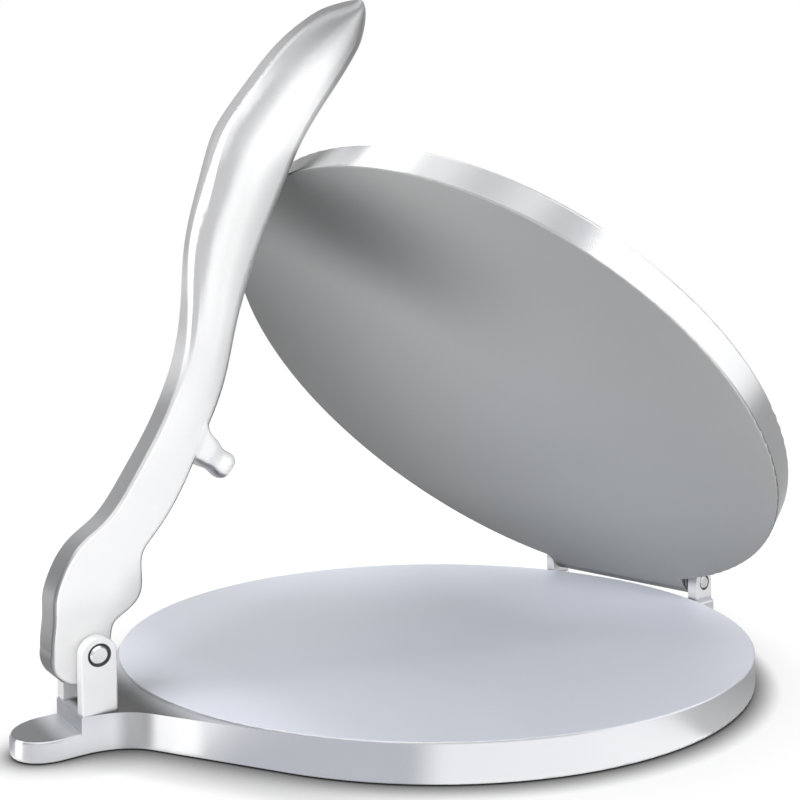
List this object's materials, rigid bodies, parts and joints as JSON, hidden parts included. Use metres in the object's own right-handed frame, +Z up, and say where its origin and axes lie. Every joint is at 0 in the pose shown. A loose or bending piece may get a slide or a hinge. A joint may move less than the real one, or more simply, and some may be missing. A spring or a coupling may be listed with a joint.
{
  "type": "tortilla press",
  "caption": "Cast aluminium tortilla press standing open, with two round press plates joined by a rear hinge and a curved pressing lever on a front tongue",
  "frame": {"origin": "centre of the rest face, on the table, straight under the middle of the round press face", "axes": "+X runs from the lever tongue to the rear hinge, +Y along the two pins, +Z up from the table"},
  "size_m": [0.2386, 0.204, 0.209],
  "materials": {
    "cast_aluminium": "polished cast aluminium",
    "pin_steel": "turned steel"
  },
  "bodies": {
    "base": {"base": "cast_aluminium"},
    "upper_plate": {"upper_plate": "cast_aluminium", "hinge_pin": "pin_steel"},
    "lever": {"lever": "cast_aluminium", "lever_pin": "pin_steel"}
  },
  "joints": [
    {"name": "lever_pivot", "type": "hinge", "parent": "base", "child": "lever", "pos_m": [-0.115, 0, 0.024], "axis": [0, 1, 0], "range_deg": [-115, 0]},
    {"name": "plate_hinge", "type": "hinge", "parent": "base", "child": "upper_plate", "pos_m": [0.1002, 0, 0.0154], "axis": [0, 1, 0], "range_deg": [0, 130]}
  ]
}
